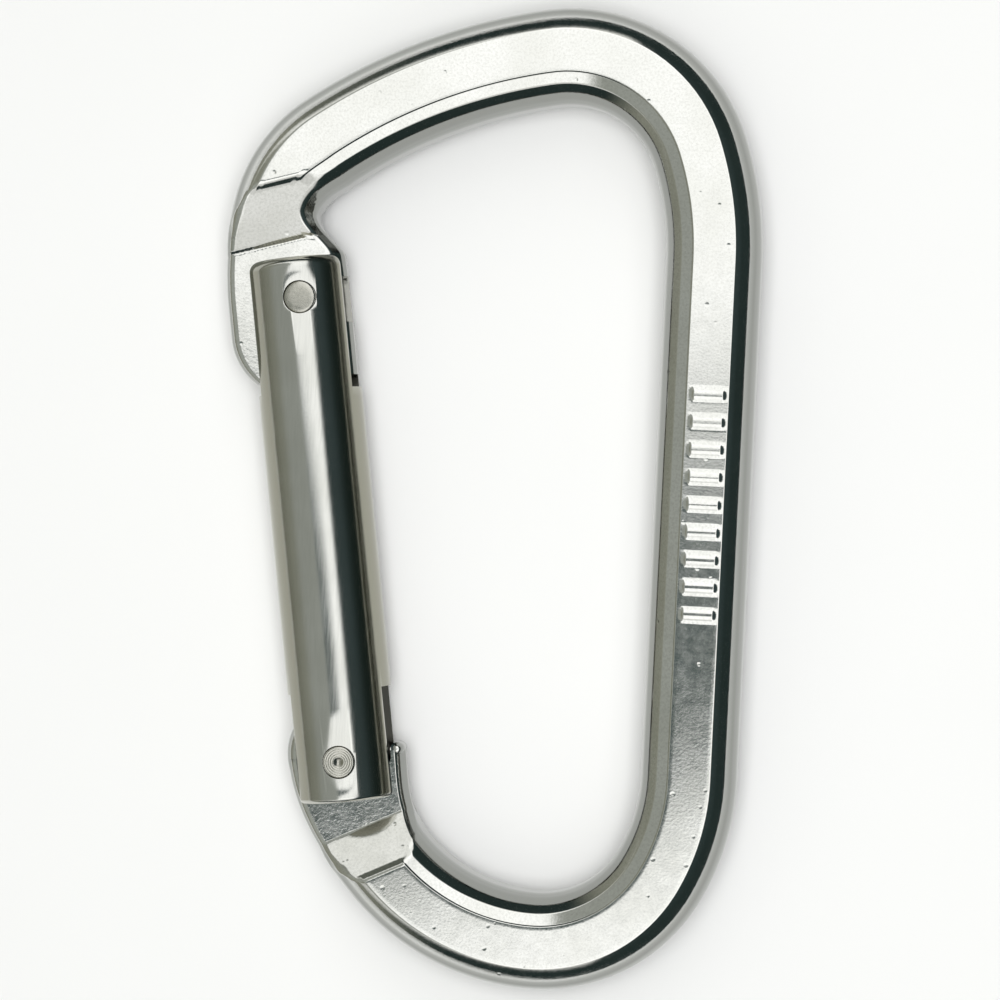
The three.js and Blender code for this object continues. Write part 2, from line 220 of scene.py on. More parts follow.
def make_object(name, vertices, faces):
    mesh = bpy.data.meshes.new(name)
    mesh.from_pydata([tuple(v) for v in vertices], [], faces)
    mesh.validate()
    obj = bpy.data.objects.new(name, mesh)
    bpy.context.scene.collection.objects.link(obj)
    return obj


def weld(obj):
    """Merges doubled points, drops slivers and turns every face outwards."""
    bm = bmesh.new()
    bm.from_mesh(obj.data)
    bmesh.ops.remove_doubles(bm, verts=bm.verts, dist=WELD)
    bmesh.ops.dissolve_degenerate(bm, edges=bm.edges, dist=WELD / 4)
    bmesh.ops.recalc_face_normals(bm, faces=bm.faces)
    bm.to_mesh(obj.data)
    bm.free()


def apply_modifiers(obj):
    bpy.context.view_layer.update()
    seen = obj.evaluated_get(bpy.context.evaluated_depsgraph_get())
    mesh = bpy.data.meshes.new_from_object(seen)
    obj.modifiers.clear()
    obj.data = mesh


def combine(obj, other, operation):
    """Joins or cuts obj with another closed solid, which is used up."""
    modifier = obj.modifiers.new("combine", "BOOLEAN")
    modifier.operation = operation
    modifier.solver = "MANIFOLD"
    modifier.object = other
    apply_modifiers(obj)
    bpy.data.objects.remove(other)


def bevel(obj, width):
    modifier = obj.modifiers.new("bevel", "BEVEL")
    modifier.width = width
    modifier.segments = 2
    modifier.limit_method = "ANGLE"
    modifier.angle_limit = math.radians(BEVEL_ANGLE)
    apply_modifiers(obj)


def skin(name, rings):
    """One solid from a run of equal rings of points."""
    rings = np.asarray(rings)
    count = rings.shape[1]
    faces = []
    for r in range(len(rings) - 1):
        for i in range(count):
            j = (i + 1) % count
            a = r * count
            b = a + count
            faces.append((a + i, a + j, b + j, b + i))
    last = (len(rings) - 1) * count
    faces.append(tuple(range(count))[::-1])
    faces.append(tuple(range(last, last + count)))
    obj = make_object(name, rings.reshape(-1, 3), faces)
    weld(obj)
    return obj


def lathe(name, profile, segments):
    """Turns (radius, height) points about z; the first and last lie on the axis."""
    turn = np.arange(segments) * 2 * math.pi / segments
    rings = []
    for radius, height in profile:
        radius = max(radius, 1e-4)
        level = np.full(segments, height)
        rings.append(np.stack([radius * np.cos(turn), radius * np.sin(turn), level], 1))
    return skin(name, rings)


def plate(name, outline, low, high):
    """A flat outline, counterclockwise, made into a solid from z = low to z = high."""
    rings = [[(x, y, z) for x, y in outline] for z in (low, high)]
    return skin(name, rings)


def arc(cx, cy, radius, start, end, steps=24):
    """Points round a centre from one angle to another."""
    turns = np.radians(np.linspace(start, end, steps + 1))
    return [(cx + radius * math.cos(a), cy + radius * math.sin(a)) for a in turns]


def round_corners(points, radii, steps=4):
    """Replaces each inner corner of an open line by a short curve that starts `radius` from it."""
    out = [points[0]]
    for before, corner, after, radius in zip(points, points[1:], points[2:], radii):
        p, c, n = (np.array(v, float) for v in (before, corner, after))
        reach_in = min(radius, 0.49 * np.hypot(*(p - c)))
        reach_out = min(radius, 0.49 * np.hypot(*(n - c)))
        start = c + (p - c) / np.hypot(*(p - c)) * reach_in
        end = c + (n - c) / np.hypot(*(n - c)) * reach_out
        for t in np.linspace(0, 1, steps + 1):
            out.append(tuple((1 - t) ** 2 * start + 2 * t * (1 - t) * c + t ** 2 * end))
    out.append(points[-1])
    return out


# Turns a solid made about z to lie about y, the gate's length in its own coordinates
along_gate = Matrix.Rotation(-math.pi / 2, 4, "X")


def place_on_gate(obj):
    """Takes a flat solid drawn in the gate's own coordinates into the plane's."""
    turn = Matrix.Rotation(gate_lean, 4, "Z")
    obj.data.transform(Matrix.Translation((hinge[0], hinge[1], 0)) @ turn)


def mark_edges(obj, steep_from):
    """Stores how sharply each vertex bulges, for the worn edges, and how steeply it stands, for the
    painted shade on steep sides, 0 to 1.
    """
    bm = bmesh.new()
    bm.from_mesh(obj.data)
    bm.normal_update()
    edge_share = bm.verts.layers.float.new("edge")
    steep_share = bm.verts.layers.float.new("steep")
    for vertex in bm.verts:
        steepness = (steep_from - abs(vertex.normal.z)) / STEEP_BLEND
        vertex[steep_share] = float(smooth_step(steepness))
    for edge in bm.edges:
        if len(edge.link_faces) != 2:
            continue
        one, other = (face.calc_center_median() for face in edge.link_faces)
        bend = edge.calc_face_angle_signed(0) / max((one - other).length, SMALLEST_FACE_GAP)
        worn = min(max(bend / SHARPEST_BEND, 0), 1)
        for vertex in edge.verts:
            vertex[edge_share] = max(vertex[edge_share], worn)
    bm.to_mesh(obj.data)
    bm.free()


def settle(obj, body, node, material, crease=32, steep_from=0.74):
    """Finishes a piece: edges marked, smooth shading, into the frame, and onto its body."""
    mark_edges(obj, steep_from)
    mesh = obj.data
    mesh.transform(Matrix.Scale(MM, 4) @ Matrix.Translation(datum))
    mesh.polygons.foreach_set("use_smooth", [True] * len(mesh.polygons))
    mesh.set_sharp_from_angle(angle=math.radians(crease))
    mesh.materials.clear()
    mesh.materials.append(material)
    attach(obj, body)
    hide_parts(node)


# ---- The bar's section ----
# Half sections as (distance in from the edge, height above the mid-plane). The outer edge has a
# steep chamfer, the inner one a small step down from the land, a bevel and a tighter chamfer.
# A soft value is how far a corner's curve starts from it. The sections stand a hair inside the CAD.
OUTER_EDGE = [(0, 0), (0, 1.6), (0.14, 2.6), (0.55, 3.8), (1.25, 4.65), (2.0, 5.3),
              (2.7, HALF_THICKNESS), (3.2, HALF_THICKNESS)]
OUTER_SOFT = [0.5, 0.5, 0.4, 0.3, 0.3, 0.1]
INNER_EDGE = [(0, 0), (0, 1.8), (0.35, 3.3), (0.95, 4.35), (1.85, 5.14), (3.0, 5.56),
              (3.14, HALF_THICKNESS), (3.6, HALF_THICKNESS)]
INNER_SOFT = [0.6, 0.4, 0.25, 0.15, 0.05, 0.05]
EDGE_INSET = 0.02

# The thin web's rims as (distance in from the edge, share of the web's half thickness), and how
# much wider the outer one becomes up a ramp
WEB_OUTER_RIM = [(0, 0.3), (0.2, 0.66), (0.55, 0.92), (0.9, 1)]
NOSE_INNER_RIM = [(0, 0.3), (0.25, 0.62), (1.15, 0.97), (1.35, 1)]
HINGE_INNER_RIM = [(0, 0.3), (0.25, 0.6), (0.5, 0.82), (0.95, 1)]
RIM_WIDENING = 1.1

# Points across the land: many on the upper face, for the raised bars, and few below
LAND_STEPS = 38
UNDER_LAND_STEPS = 10


def half_section(outer, inner, land_steps):
    """Points (across, height) from the outer edge, over the land, to the inner edge."""
    outside = round_corners(OUTER_EDGE, OUTER_SOFT)
    inside = round_corners(INNER_EDGE, INNER_SOFT)[::-1]
    points = [(outer - d, z) for d, z in outside]
    start, end = points[-1][0], -inner + inside[0][0]
    for i in range(1, land_steps):
        points.append((start + (end - start) * i / land_steps, HALF_THICKNESS))
    points += [(-inner + d, z) for d, z in inside]
    return np.array(points)


def widths(run):
    """How far the bar reaches outside and inside its middle line."""
    place, _ = at_run(run)
    ramp_foot = total_run - toe_length - GATE_PAST_LATCH - 2 * NOSE_RAMP_FROM_GATE
    flare_start = ramp_foot - FLARE_BEFORE_RAMP
    tang = 1 - smooth_step(run / BOSS_FLARE)
    hollow = NOSE_HOLLOW * smooth_step((run - flare_start) / NOSE_HOLLOW_RUN + 1)
    flared = smooth_step((run - flare_start) / NOSE_FLARE)
    neck = half_width + tang * (LIP_REACH - half_width) - hollow
    web = cheek_half_width + WEB_PROUD - to_gate(*place)[0]
    inner = neck + (web - neck) * flared
    past = max(0, run - (total_run - TOE_ROUND))
    toe = TOE_ROUND - math.sqrt(max(0, TOE_ROUND ** 2 - past ** 2))
    outer = half_width + tang * (BOSS_RADIUS - half_width) - toe
    return outer - EDGE_INSET, inner


# ---- The forged faces ----
# Each ramp falls from the land to the web across a line at an angle to the gate. Its head is a
# short steep step, so the land ends in a crease, and the nose's ramp has a smaller step at its
# foot. A ramp acts only within its zone of the bar, measured from that end. Above BLEND_ABOVE the
# section runs softly into the ramp.
CREASE_DROP = 0.55
CREASE_SLOPE = 0.84
FOOT_STEP = 0.2
FOOT_STEP_RUN = 0.24
RAMP_ZONE = 34
BLEND_ABOVE = 4
LAND_TOLERANCE = 0.1


def past_line(x, y, at, turn):
    """Distance up the gate beyond a line across it at `at`, leaned by `turn` degrees."""
    across, up = to_gate(x, y)
    lean = math.radians(turn)
    return (up - at) * math.cos(lean) - across * math.sin(lean)


def ramp_height(distance, length):
    """A ramp's height at a distance from its foot, with the steep step at its head."""
    slope = (HALF_THICKNESS - HALF_WEB) / length
    height = HALF_WEB + np.maximum(distance, 0) * slope
    step_start = HALF_THICKNESS - CREASE_DROP
    steepened = step_start + (height - step_start) * CREASE_SLOPE / slope
    return np.where(height > step_start, steepened, height)


def face_height(x, y, run):
    """The most that the forged faces allow above the mid-plane at a point of the plane."""
    nose_up = past_line(x, y, gate_top + NOSE_RAMP_FROM_GATE, NOSE_RAMP_TURN)
    fading = np.clip(1 - nose_up / NOSE_RAMP, 0, 1)
    foot_step = FOOT_STEP * smooth_step(nose_up / FOOT_STEP_RUN) * fading
    nose_face = ramp_height(nose_up, NOSE_RAMP) + foot_step
    hinge_down = -past_line(x, y, -HINGE_RAMP_FROM_PIN, HINGE_RAMP_TURN)
    hinge_face = ramp_height(hinge_down, HINGE_RAMP)
    if run > total_run - toe_length - RAMP_ZONE:
        return nose_face
    return hinge_face if run < RAMP_ZONE else np.full_like(nose_face, 2 * HALF_THICKNESS)


def mark_relief(x, y):
    """Height of the raised bars on the spine's land."""
    wide, tall = MARK_SIZE
    nearest = np.clip(np.round((y - MARK_START) / MARK_PITCH), 0, MARK_COUNT - 1)
    dx = np.abs(x - MARK_MIDDLE) - wide / 2
    dy = np.abs(y - MARK_START - nearest * MARK_PITCH) - tall / 2
    inside = -np.maximum(dx, dy)
    on_spine = (x > -half_width) & (x < half_width)
    return MARK_HEIGHT * smooth_step(inside / MARK_SLOPE + MARK_SLOPE_OUTSIDE) * on_spine


def shape_section(points, x, y, run, outer, inner, side):
    """Lowers a half section to the forged faces and rounds the thin web's rims."""
    across, height = points[:, 0], points[:, 1]
    limit = face_height(x, y, run)
    widening = 1 + RIM_WIDENING * smooth_step((limit - HALF_WEB) / (HALF_THICKNESS - HALF_WEB))
    outer_drop = HALF_WEB * (1 - np.interp((outer - across) / widening, *zip(*WEB_OUTER_RIM)))
    inner_rim = NOSE_INNER_RIM if run > total_run / 2 else HINGE_INNER_RIM
    inner_drop = HALF_WEB * (1 - np.interp(across + inner, *zip(*inner_rim)))
    height = np.where(height > BLEND_ABOVE, soft_min(height, limit), np.minimum(height, limit))
    height = np.minimum(height, limit - np.maximum(outer_drop, inner_drop))
    if side > 0:
        on_land = height > HALF_THICKNESS - LAND_TOLERANCE
        height = height + np.where(on_land, mark_relief(x, y), 0)
    return side * height


# Distance between sections: on the ramps, on the marks, near the bar's two ends, on the way to
# the nose, and along the lower and the upper bends
RAMP_STEP = 0.14
MARK_STEP = 0.24
END_STEP = 0.4
APPROACH_STEP = 0.5
LOWER_STEP = 0.9
UPPER_STEP = 1
MARK_MARGIN = 1.5

# Where the ramps' close sections lie: along from the hinge end, and back from the toe's start
HINGE_RAMP_RUNS = (5, 19)
NOSE_RAMP_BACK = 19
APPROACH_BACK = 26


def body_runs():
    """Where the sections stand: close together at the ramps and the marks, wider elsewhere."""
    spine_start = sum(stretch[0] for stretch in line[:len(BOTTOM_BENDS)])
    marks_start = spine_start + SPINE_DOWN + MARK_START - MARK_MARGIN
    marks_end = marks_start + (MARK_COUNT - 1) * MARK_PITCH + 2 * MARK_MARGIN
    toe_start = total_run - toe_length
    stops = [(0, END_STEP), (HINGE_RAMP_RUNS[0], RAMP_STEP), (HINGE_RAMP_RUNS[1], LOWER_STEP),
             (marks_start, MARK_STEP), (marks_end, UPPER_STEP),
             (toe_start - APPROACH_BACK, APPROACH_STEP), (toe_start - NOSE_RAMP_BACK, RAMP_STEP),
             (toe_start, END_STEP), (total_run, END_STEP)]
    runs = []
    for (start, step), (end, _) in zip(stops, stops[1:]):
        count = math.ceil((end - start) / step)
        runs += list(start + (end - start) * np.arange(count) / count)
    return runs + [total_run]


def sweep_bar():
    """The bar from hinge end to toe, one ring of points for each section."""
    rings = []
    for run in body_runs():
        (px, py), heading = at_run(run)
        outer, inner = widths(run)
        ring = []
        for side, steps in ((1, LAND_STEPS), (-1, UNDER_LAND_STEPS)):
            points = half_section(outer, inner, steps)
            x = px + points[:, 0] * math.sin(heading)
            y = py - points[:, 0] * math.cos(heading)
            z = shape_section(points, x, y, run, outer, inner, side)
            half = np.stack([x, y, z], 1)
            ring.append(half if side > 0 else half[::-1][1:-1])
        rings.append(np.concatenate(ring))
    return skin("carabiner_body", rings)


# The tang's discs: the share of their height below the round rims, how far in the rims reach,
# and how far the discs' faces lie below the web's
RIM_HEIGHT = 0.35
BOSS_RIM = 1.2
LIP_RIM = 0.5
BELOW_WEB = 0.01


def rounded_disc(name, x, y, radius, half, rim):
    """A flat disc with rounded rims, in the gate's coordinates."""
    rise = half * (1 - RIM_HEIGHT)
    edge = [(radius - rim * (1 - math.cos(a)), half * RIM_HEIGHT + rise * math.sin(a))
            for a in np.radians(np.linspace(0, 90, 7))]
    profile = [(0, -half)] + [(r, -z) for r, z in reversed(edge)] + edge + [(0, half)]
    obj = lathe(name, profile, 72)
    obj.data.transform(Matrix.Translation((x, y, 0)))
    place_on_gate(obj)
    return obj


def latch_notch():
    """The cutter for the latch pin's pocket, open to the inside of the hoop."""
    mouth = cheek_half_width + PAST
    outline = [(mouth, hole_radius)] + arc(0, 0, hole_radius, 90, 270)
    outline.append((mouth, -hole_radius - mouth / 5))
    outline = [(x + LATCH_OFFSET, y + latch_reach) for x, y in outline]
    obj = plate("notch", outline, -BODY_CUT, BODY_CUT)
    place_on_gate(obj)
    return obj


def plunger_seat():
    """The cutter for the seat that the plunger's tip rests in, up to the tang's round lip."""
    seat_x = lip_x - LIP_RADIUS - SEAT_RADIUS
    seat_y = lip_y - LIP_RADIUS
    top = hinge_slot_end + 1
    outline = [(-STEM_ROOM, top), (seat_x - SEAT_RADIUS, seat_y + SEAT_LEAD)]
    outline += arc(seat_x, seat_y, SEAT_RADIUS, 180, 360, 16)
    outline += arc(lip_x, lip_y, LIP_RADIUS, 180, 0, 16)
    outline += [(lip_x + PAST, lip_y), (lip_x + PAST, top)]
    obj = plate("seat", outline, -BODY_CUT, BODY_CUT)
    place_on_gate(obj)
    return obj


def toe_cut():
    """The cutter that ends the toe in an arc about the hinge pin, clear of the gate's slot."""
    radius = math.hypot(slot_end, GATE_RADIUS) + TOE_GAP
    edge = math.degrees(math.acos(3 * GATE_RADIUS / radius))
    outline = [(-3 * GATE_RADIUS, slot_end - PAST), (3 * GATE_RADIUS, slot_end - PAST)]
    outline += arc(0, 0, radius, edge, 180 - edge, 48)
    obj = plate("toe_cut", outline, -BODY_CUT, BODY_CUT)
    place_on_gate(obj)
    return obj


def pin_hole(radius, x=0, y=0):
    """A round cutter across the gate, in its coordinates."""
    profile = [(0, -GATE_CUT), (radius, -GATE_CUT), (radius, GATE_CUT), (0, GATE_CUT)]
    obj = lathe("hole", profile, 48)
    obj.data.transform(Matrix.Translation((x, y, 0)))
    return obj


def build_body():
    """The swept bar with the tang's boss and lip, less the pocket, the seat and the pin's hole."""
    body = sweep_bar()
    boss_radius = BOSS_RADIUS - EDGE_INSET
    boss = rounded_disc("boss", 0, PIN_FROM_BAR_END, boss_radius, HALF_WEB - BELOW_WEB, BOSS_RIM)
    combine(body, boss, "UNION")
    lip = rounded_disc("lip", lip_x, lip_y, LIP_RADIUS, HALF_WEB - 2 * BELOW_WEB, LIP_RIM)
    combine(body, lip, "UNION")
    hinge_hole = pin_hole(hole_radius)
    place_on_gate(hinge_hole)
    for cutter in (toe_cut(), latch_notch(), plunger_seat(), hinge_hole):
        combine(body, cutter, "DIFFERENCE")
    return body


# ---- The gate ----
GATE_TOP_ROUND = 1.2
GATE_FOOT_ROUND = 0.5
HEAD_GAP = 0.05
GATE_BEVEL = 0.16


def slot_cutter(low, high):
    """A cutter for one of the gate's slots, in its coordinates."""
    wide = GATE_RADIUS + PAST
    outline = [(-wide, low), (wide, low), (wide, high), (-wide, high)]
    return plate("slot", outline, -HALF_SLOT, HALF_SLOT)


def build_gate():
    """A round bar, slotted at both ends, drilled up the middle and across for the two pins."""
    low = -GATE_PAST_HINGE
    side_low = low + GATE_FOOT_ROUND
    side_high = gate_top - GATE_TOP_ROUND
    side = np.linspace(side_low, side_high, 13)[1:-1]
    profile = [(0, low)]
    profile += arc(GATE_RADIUS - GATE_FOOT_ROUND, side_low, GATE_FOOT_ROUND, -90, 0, 8)
    profile += [(GATE_RADIUS, height) for height in side]
    profile += arc(GATE_RADIUS - GATE_TOP_ROUND, side_high, GATE_TOP_ROUND, 0, 90, 8)
    profile.append((0, gate_top))
    gate = lathe("gate_bar", profile, 144)
    gate.data.transform(along_gate)
    combine(gate, slot_cutter(slot_end, gate_top + PAST), "DIFFERENCE")
    combine(gate, slot_cutter(low - PAST, hinge_slot_end), "DIFFERENCE")
    length = BORE_DEPTH + PAST
    bore = lathe("bore", [(0, 0), (BORE_RADIUS, 0), (BORE_RADIUS, length), (0, length)], 64)
    bore.data.transform(Matrix.Translation((0, hinge_slot_end - PAST, 0)) @ along_gate)
    combine(gate, bore, "DIFFERENCE")
    for x, y in ((0, 0), (LATCH_OFFSET, latch_reach)):
        combine(gate, pin_hole(PIN_RADIUS + HEAD_GAP, x, y), "DIFFERENCE")
    bevel(gate, GATE_BEVEL)
    place_on_gate(gate)
    return gate


# ---- The pins ----
# Heads as (radius, depth below the head's face) from the middle outwards, and how far the faces
# lie below the gate's round
HEAD_SET = 0.05
DIMPLE = [(0.001, 0.28), (0.2, 0.26), (0.42, 0.1), (0.55, 0.01)]
TURNED_RIM = [(PIN_RADIUS - 0.16, 0.01), (PIN_RADIUS - 0.05, 0.07), (PIN_RADIUS, 0.2)]
FLUSH_HEAD = [(0.001, 0), (0.5, 0), (1.0, 0.005), (PIN_RADIUS - 0.25, 0.015),
              (PIN_RADIUS - 0.08, 0.05), (PIN_RADIUS, 0.16)]
RING_COUNT = 4
RING_DEPTH = 0.018
RINGS_END = PIN_RADIUS - 0.2


def rivet_between_heads(name, head, half, x, y):
    """A rivet with the same head at both ends, across the gate at a place in its coordinates."""
    upper = [(radius, half - depth) for radius, depth in head]
    lower = [(radius, -height) for radius, height in upper]
    obj = lathe(name, lower + upper[::-1], 64)
    obj.data.transform(Matrix.Translation((x, y, 0)))
    place_on_gate(obj)
    return obj


def build_hinge_rivet():
    """A turned head at each end: fine rings, a dimple in the middle and a small edge chamfer."""
    start = DIMPLE[-1][0]
    shares = np.linspace(0, 1, 35)[1:-1]
    rings = [(start + (RINGS_END - start) * share,
              RING_DEPTH * (1 - math.cos(2 * math.pi * RING_COUNT * share)) / 2) for share in shares]
    head = DIMPLE + rings + TURNED_RIM
    return rivet_between_heads("hinge_rivet", head, GATE_RADIUS - HEAD_SET, 0, 0)


def build_latch_rivet():
    """A plain flush rivet, its heads dressed to the gate's round."""
    half = math.sqrt(GATE_RADIUS ** 2 - LATCH_OFFSET ** 2) - HEAD_SET
    return rivet_between_heads("latch_rivet", FLUSH_HEAD, half, LATCH_OFFSET, latch_reach)


# ---- Spring and plunger ----
SPRING_WIRE = 0.7
SPRING_TURNS = 9
SPRING_STEPS_A_TURN = 28
PLUNGER_HEAD = 1.4
PLUNGER_STEM = 0.9
PLUNGER_TIP = 0.5
PLUNGER_CHAMFER = 0.2
STEM_BEND = (0.25, 0.4)


def tube(name, points, radius, segments):
    """A round rod along a run of points, with flat ends."""
    points = np.asarray(points, float)
    heads = np.gradient(points, axis=0)
    heads /= np.linalg.norm(heads, axis=1)[:, None]
    side = np.cross(heads[0], (0.0, 0.0, 1.0))
    if np.linalg.norm(side) < 0.1:
        side = np.cross(heads[0], (0.0, 1.0, 0.0))
    turns = np.arange(segments) * 2 * math.pi / segments
    rings = []
    for point, head in zip(points, heads):
        side = side - head * np.dot(side, head)
        side /= np.linalg.norm(side)
        up = np.cross(head, side)
        rings.append(point + radius * (np.outer(np.cos(turns), side) + np.outer(np.sin(turns), up)))
    return skin(name, rings)


def build_spring():
    """The coil between the plunger's head and the closed end of the bore."""
    wire = SPRING_WIRE / 2
    radius = BORE_RADIUS - wire - RUNNING_GAP
    low = head_low + PLUNGER_HEAD + wire + RUNNING_GAP
    high = hinge_slot_end + BORE_DEPTH - wire - RUNNING_GAP
    t = np.linspace(0, 1, SPRING_TURNS * SPRING_STEPS_A_TURN + 1)
    turn = 2 * math.pi * SPRING_TURNS * t
    points = np.stack([radius * np.cos(turn), low + (high - low) * t, radius * np.sin(turn)], 1)
    spring = tube("return_spring", points, wire, 12)
    place_on_gate(spring)
    return spring


def squash_spring(spring):
    """Gives the coil a mesh of its own."""
    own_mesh(spring)


def build_plunger():
    """A headed pin: the head fills the bore, the stem leans across the slot to its seat."""
    head_radius = BORE_RADIUS - RUNNING_GAP
    face_radius = head_radius - PLUNGER_CHAMFER
    head_high = head_low + PLUNGER_HEAD
    profile = [(0, head_low), (face_radius, head_low), (head_radius, head_low + PLUNGER_CHAMFER),
               (head_radius, head_high - PLUNGER_CHAMFER), (face_radius, head_high), (0, head_high)]
    head = lathe("push_pin", profile, 48)
    head.data.transform(along_gate)
    start = np.array((0, head_low + PLUNGER_HEAD / 2))
    bend = np.array((STEM_BEND[0], hinge_slot_end + STEM_BEND[1]))
    end = np.array((TIP_ACROSS, TIP_RISE))
    t = np.linspace(0, 1, 25)[:, None]
    path = start + (bend - start) * np.clip(t * 2, 0, 1) + (end - bend) * np.clip(t * 2 - 1, 0, 1)
    stem = tube("stem", np.column_stack([path, np.zeros(len(path))]), PLUNGER_STEM / 2, 20)
    combine(head, stem, "UNION")
    ball = [(PLUNGER_TIP * math.sin(a), -PLUNGER_TIP * math.cos(a))
            for a in np.linspace(0, math.pi, 13)]
    tip = lathe("tip", ball, 24)
    tip.data.transform(Matrix.Translation((TIP_ACROSS, TIP_RISE, 0)))
    combine(head, tip, "UNION")
    place_on_gate(head)
    return head


# ---- Materials ----
class Graph:
    """A material's node tree, with short calls for the nodes that the finishes share."""

    def __init__(self, name):
        self.material = bpy.data.materials.new(name)
        self.material.use_nodes = True
        self.nodes = self.material.node_tree.nodes
        self.links = self.material.node_tree.links
        self.nodes.clear()
        self.shader = self.nodes.new("ShaderNodeBsdfPrincipled")
        output = self.nodes.new("ShaderNodeOutputMaterial")
        self.links.new(self.shader.outputs[0], output.inputs["Surface"])
        self.position = self.nodes.new("ShaderNodeTexCoord").outputs["Object"]

    def feed(self, socket, value):
        """Links a socket or sets a plain value, whichever it is given."""
        if isinstance(value, bpy.types.NodeSocket):
            self.links.new(value, socket)
        else:
            socket.default_value = value

    def turned_position(self, turn, scale):
        """Coordinates turned about z and stretched, for grain with a direction."""
        node = self.nodes.new("ShaderNodeMapping")
        self.feed(node.inputs["Vector"], self.position)
        node.inputs["Rotation"].default_value = (0, 0, turn)
        node.inputs["Scale"].default_value = scale
        return node.outputs[0]

    def noise(self, scale, detail=2.0, roughness=0.5, vector=None):
        node = self.nodes.new("ShaderNodeTexNoise")
        self.feed(node.inputs["Vector"], vector or self.position)
        node.inputs["Scale"].default_value = scale
        node.inputs["Detail"].default_value = detail
        node.inputs["Roughness"].default_value = roughness
        return node.outputs["Fac"]

    def spots(self, scale):
        """Distance to the nearest of many scattered points."""
        node = self.nodes.new("ShaderNodeTexVoronoi")
        self.feed(node.inputs["Vector"], self.position)
        node.inputs["Scale"].default_value = scale
        return node.outputs["Distance"]

    def span(self, value, low, high, to_low=0.0, to_high=1.0):
        """Carries low..high smoothly to to_low..to_high, and holds the ends beyond them."""
        node = self.nodes.new("ShaderNodeMapRange")
        node.interpolation_type = "SMOOTHSTEP"
        self.feed(node.inputs["Value"], value)
        sockets = ("From Min", "From Max", "To Min", "To Max")
        for socket, number in zip(sockets, (low, high, to_low, to_high)):
            node.inputs[socket].default_value = number
        return node.outputs["Result"]

    def math(self, operation, a, b=0.0):
        node = self.nodes.new("ShaderNodeMath")
        node.operation = operation
        self.feed(node.inputs[0], a)
        self.feed(node.inputs[1], b)
        return node.outputs[0]

    def mix(self, factor, a, b):
        node = self.nodes.new("ShaderNodeMix")
        node.data_type = "RGBA"
        self.feed(node.inputs["Factor"], factor)
        self.feed(node.inputs["A"], a)
        self.feed(node.inputs["B"], b)
        return node.outputs["Result"]

    def bump(self, height, depth, normal=None):
        """A bump `depth` metres deep for a height of 0 to 1."""
        node = self.nodes.new("ShaderNodeBump")
        node.inputs["Distance"].default_value = depth
        self.feed(node.inputs["Height"], height)
        if normal:
            self.feed(node.inputs["Normal"], normal)
        return node.outputs[0]

    def stored(self, name):
        """A value stored on the mesh's points by mark_edges."""
        node = self.nodes.new("ShaderNodeAttribute")
        node.attribute_name = name
        return node.outputs["Fac"]

    def off_middle(self):
        """Distance above or below the carabiner's mid-plane."""
        separate = self.nodes.new("ShaderNodeSeparateXYZ")
        self.feed(separate.inputs[0], self.position)
        return self.math("ABSOLUTE", self.math("SUBTRACT", separate.outputs["Z"], datum[2] * MM))

    def slot_faces(self):
        """The level faces inside the gate's slots, the mask for the painted shade there."""
        separate = self.nodes.new("ShaderNodeSeparateXYZ")
        geometry = self.nodes.new("ShaderNodeNewGeometry")
        self.feed(separate.inputs[0], geometry.outputs["True Normal"])
        level = self.span(self.math("ABSOLUTE", separate.outputs["Z"]), 0.9, 0.97)
        inside = self.span(self.off_middle(), (HALF_SLOT + 0.02) * MM, (HALF_SLOT + 0.06) * MM, 1, 0)
        return self.math("MULTIPLY", level, inside)

    def finish(self, colour, roughness, normal, metallic=1.0):
        self.feed(self.shader.inputs["Base Color"], colour)
        self.feed(self.shader.inputs["Roughness"], roughness)
        self.feed(self.shader.inputs["Normal"], normal)
        self.shader.inputs["Metallic"].default_value = metallic
        return self.material


def forged_aluminium():
    """Satin forged skin: fine grain, small pits, bright worn edges, and painted shade that darkens
    the steep sides.
    """
    g = Graph("forged_aluminium_satin")
    off_middle = g.off_middle()
    not_above = g.span(off_middle, (HALF_WEB + 0.02) * MM, (HALF_WEB + 0.3) * MM, 1, 0)
    not_below = g.span(off_middle, (HALF_WEB - 0.3) * MM, (HALF_WEB - 0.1) * MM)
    web = g.math("MULTIPLY", not_above, not_below)
    grain = g.noise(3600, 3, 0.6)
    peel = g.noise(1300, 2, 0.5)
    cloud = g.noise(160, 2, 0.5)
    pits = g.span(g.spots(420), 0.02, 0.13, 0, 1)
    colour = g.mix(g.span(cloud, 0.3, 0.7), (0.71, 0.715, 0.69, 1), (0.77, 0.775, 0.76, 1))
    colour = g.mix(g.span(grain, 0.62, 0.3, 0, 0.5), colour, (0.58, 0.585, 0.56, 1))
    colour = g.mix(g.math("MULTIPLY", g.stored("edge"), 0.5), colour, (0.86, 0.86, 0.84, 1))
    # Painted shade: the steep sides are painted darker, in place of the dimmer light they reflect
    colour = g.mix(g.stored("steep"), colour, (0.31, 0.317, 0.3, 1))
    roughness = g.span(g.noise(900, 3, 0.6), 0.3, 0.7, 0.08, 0.12)
    normal = g.bump(peel, 0.001 * MM)
    normal = g.bump(g.math("MULTIPLY", g.noise(2300, 3, 0.6), web), 0.006 * MM, normal)
    normal = g.bump(grain, 0.0028 * MM, normal)
    normal = g.bump(pits, 0.012 * MM, normal)
    return g.finish(colour, roughness, normal)


# Painted shade in the slots: the lower slot's cut faces are painted darker than the upper one's; the
# change lies between these heights
SLOT_SHADE_CHANGE = (14, 15.5)


